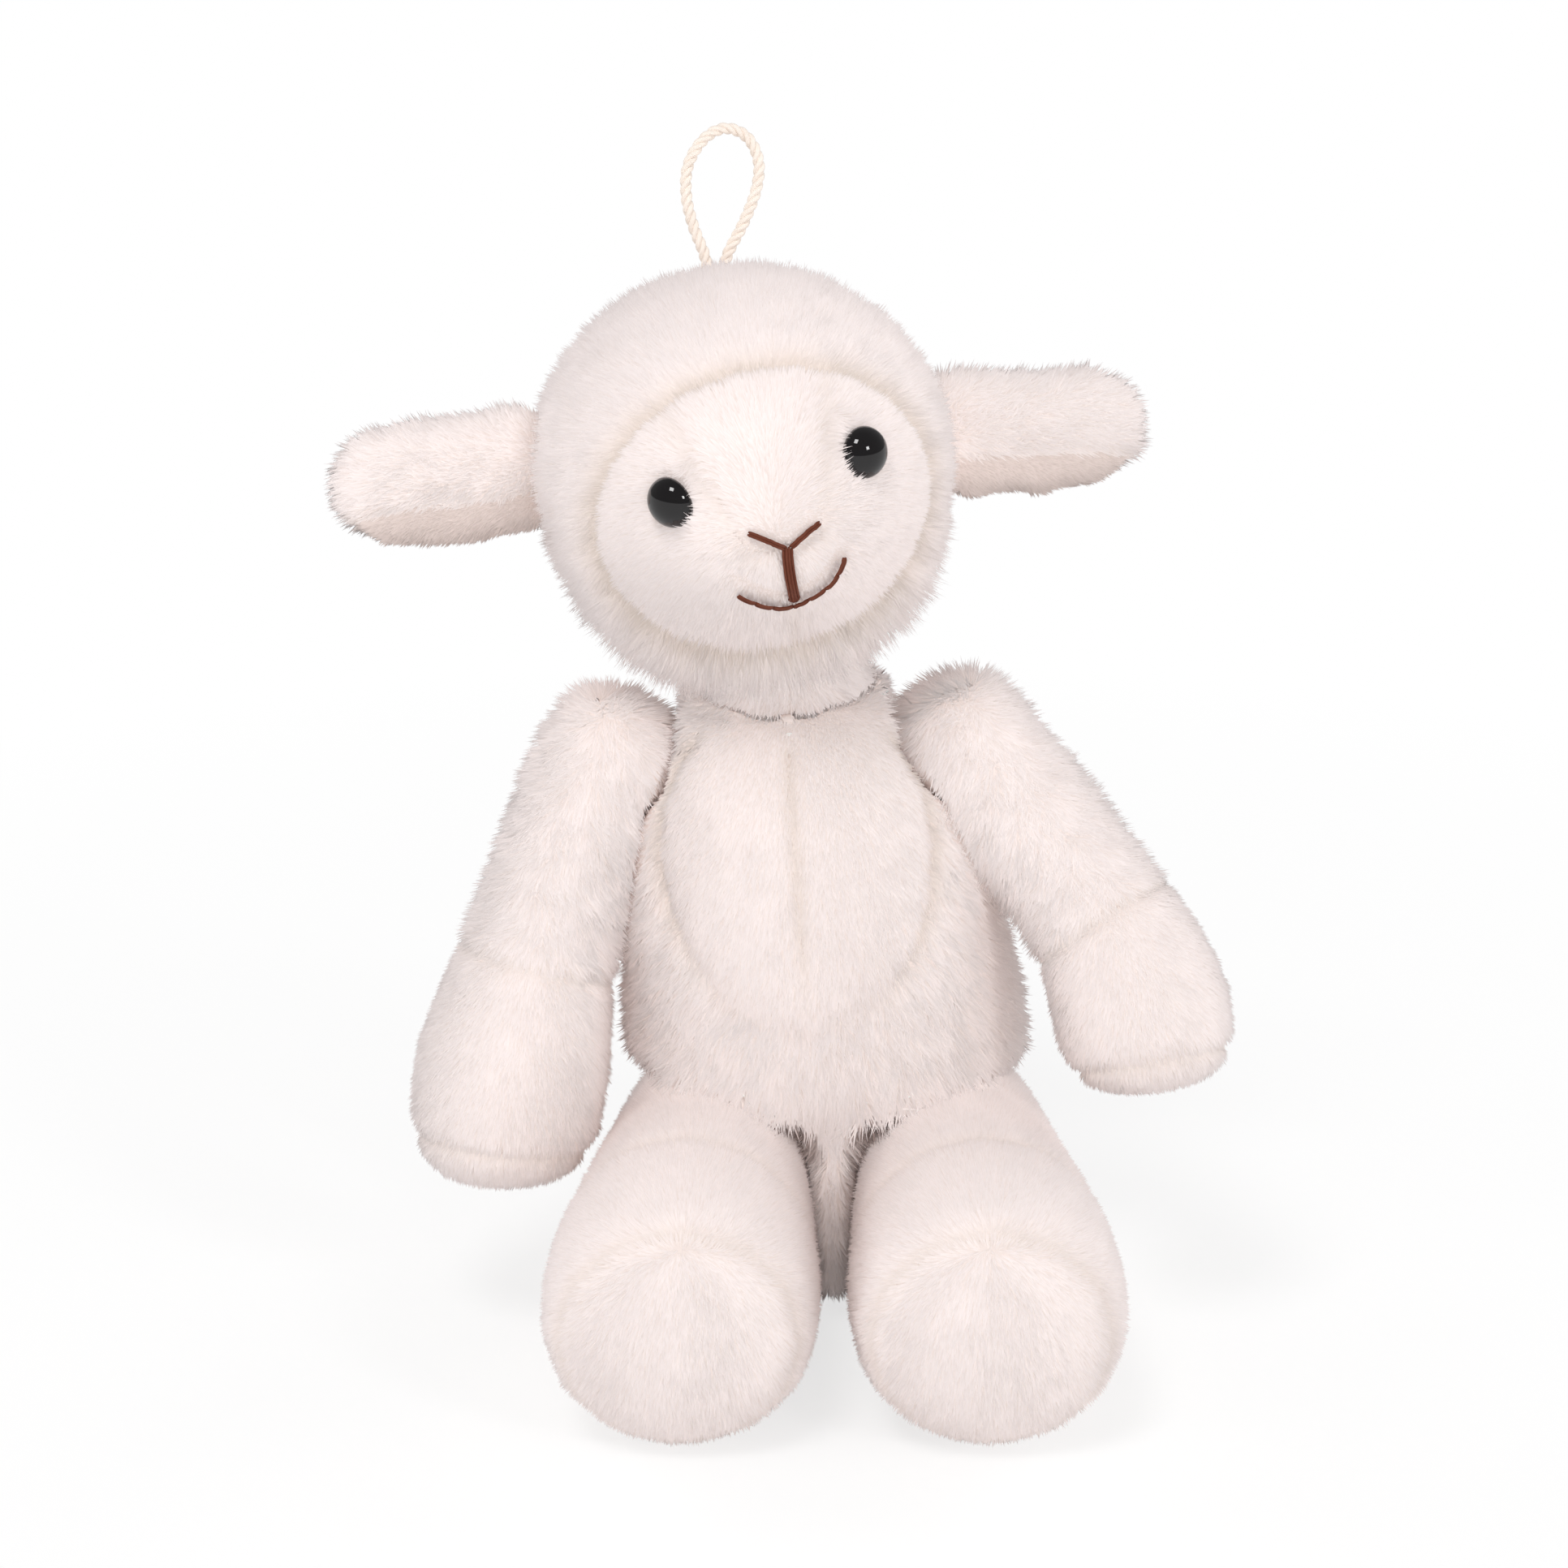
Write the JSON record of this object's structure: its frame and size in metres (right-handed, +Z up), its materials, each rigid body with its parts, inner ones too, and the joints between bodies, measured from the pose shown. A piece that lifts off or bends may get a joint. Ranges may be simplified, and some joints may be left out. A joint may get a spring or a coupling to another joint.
{
  "type": "plush sheep",
  "caption": "Sitting plush sheep with a hooded head, floppy side ears, safety eyes, soft limbs that turn at their seams and a hanging loop at the crown.",
  "frame": {"origin": "on the floor, in the middle of the flat underside of the seat", "axes": "+Z up, the sheep faces -Y, its own left side is +X"},
  "size_m": [0.2186, 0.158, 0.2955],
  "materials": {
    "long_pile_plush": "long pile",
    "short_pile_plush": "short pile",
    "ear_lining": "short pile",
    "fibre_filling": "loose fibre",
    "pellet_pouch": "woven pouch of pellets",
    "eye_black": "glossy",
    "washer_nylon": "satin",
    "brown_thread": "embroidery thread",
    "loop_cord": "twisted cord"
  },
  "bodies": {
    "torso": {"body_shell": "long_pile_plush", "belly_left": "short_pile_plush", "belly_right": "short_pile_plush", "torso_stuffing": "fibre_filling", "seat_pellets": "pellet_pouch"},
    "neck": {"neck": "long_pile_plush"},
    "head": {"hood": "long_pile_plush", "forehead_nose_panel": "short_pile_plush", "cheek_left": "short_pile_plush", "cheek_right": "short_pile_plush", "head_stuffing": "fibre_filling", "eye_left": "eye_black", "eye_right": "eye_black", "eye_washer_left": "washer_nylon", "eye_washer_right": "washer_nylon", "nose_stitching": "brown_thread", "mouth_stitching": "brown_thread", "hanging_loop": "loop_cord"},
    "ear_left": {"ear_left": "long_pile_plush", "ear_left_lining": "ear_lining"},
    "arm_left": {"sleeve_left": "long_pile_plush", "hand_left": "short_pile_plush", "hand_pad_left": "short_pile_plush", "arm_stuffing_left": "fibre_filling"},
    "leg_left": {"leg_left": "short_pile_plush", "foot_left": "short_pile_plush", "sole_left": "short_pile_plush", "leg_stuffing_left": "fibre_filling", "foot_pellets_left": "pellet_pouch"},
    "ear_right": {"ear_right": "long_pile_plush", "ear_right_lining": "ear_lining"},
    "arm_right": {"sleeve_right": "long_pile_plush", "hand_right": "short_pile_plush", "hand_pad_right": "short_pile_plush", "arm_stuffing_right": "fibre_filling"},
    "leg_right": {"leg_right": "short_pile_plush", "foot_right": "short_pile_plush", "sole_right": "short_pile_plush", "leg_stuffing_right": "fibre_filling", "foot_pellets_right": "pellet_pouch"}
  },
  "joints": [
    {"name": "neck_turn", "type": "hinge", "parent": "torso", "child": "neck", "pos_m": [-0.012, 0, 0.164], "axis": [-0.0523, 0, 0.9986], "range_deg": [-40, 40]},
    {"name": "head_nod", "type": "hinge", "parent": "neck", "child": "head", "pos_m": [-0.012, 0, 0.164], "axis": [0.9912, 0.1219, 0.0519], "range_deg": [-10, 12]},
    {"name": "ear_left", "type": "hinge", "parent": "head", "child": "ear_left", "pos_m": [0.02952, 0.00704, 0.22267], "axis": [-0.0474, 0.261, 0.9642], "range_deg": [-30, 30]},
    {"name": "ear_right", "type": "hinge", "parent": "head", "child": "ear_right", "pos_m": [-0.07456, -0.00576, 0.21721], "axis": [-0.1166, 0.2525, 0.9605], "range_deg": [-30, 30]},
    {"name": "shoulder_left", "type": "hinge", "parent": "torso", "child": "arm_left", "pos_m": [0.029, 0, 0.151], "axis": [0, -1, 0], "range_deg": [0, 50]},
    {"name": "shoulder_right", "type": "hinge", "parent": "torso", "child": "arm_right", "pos_m": [-0.053, 0, 0.147], "axis": [0, 1, 0], "range_deg": [0, 50]},
    {"name": "hip_left", "type": "hinge", "parent": "torso", "child": "leg_left", "pos_m": [0.031, -0.016, 0.02999], "axis": [1, 0, 0], "range_deg": [0, 50]},
    {"name": "hip_right", "type": "hinge", "parent": "torso", "child": "leg_right", "pos_m": [-0.031, -0.016, 0.02999], "axis": [1, 0, 0], "range_deg": [0, 50]}
  ]
}
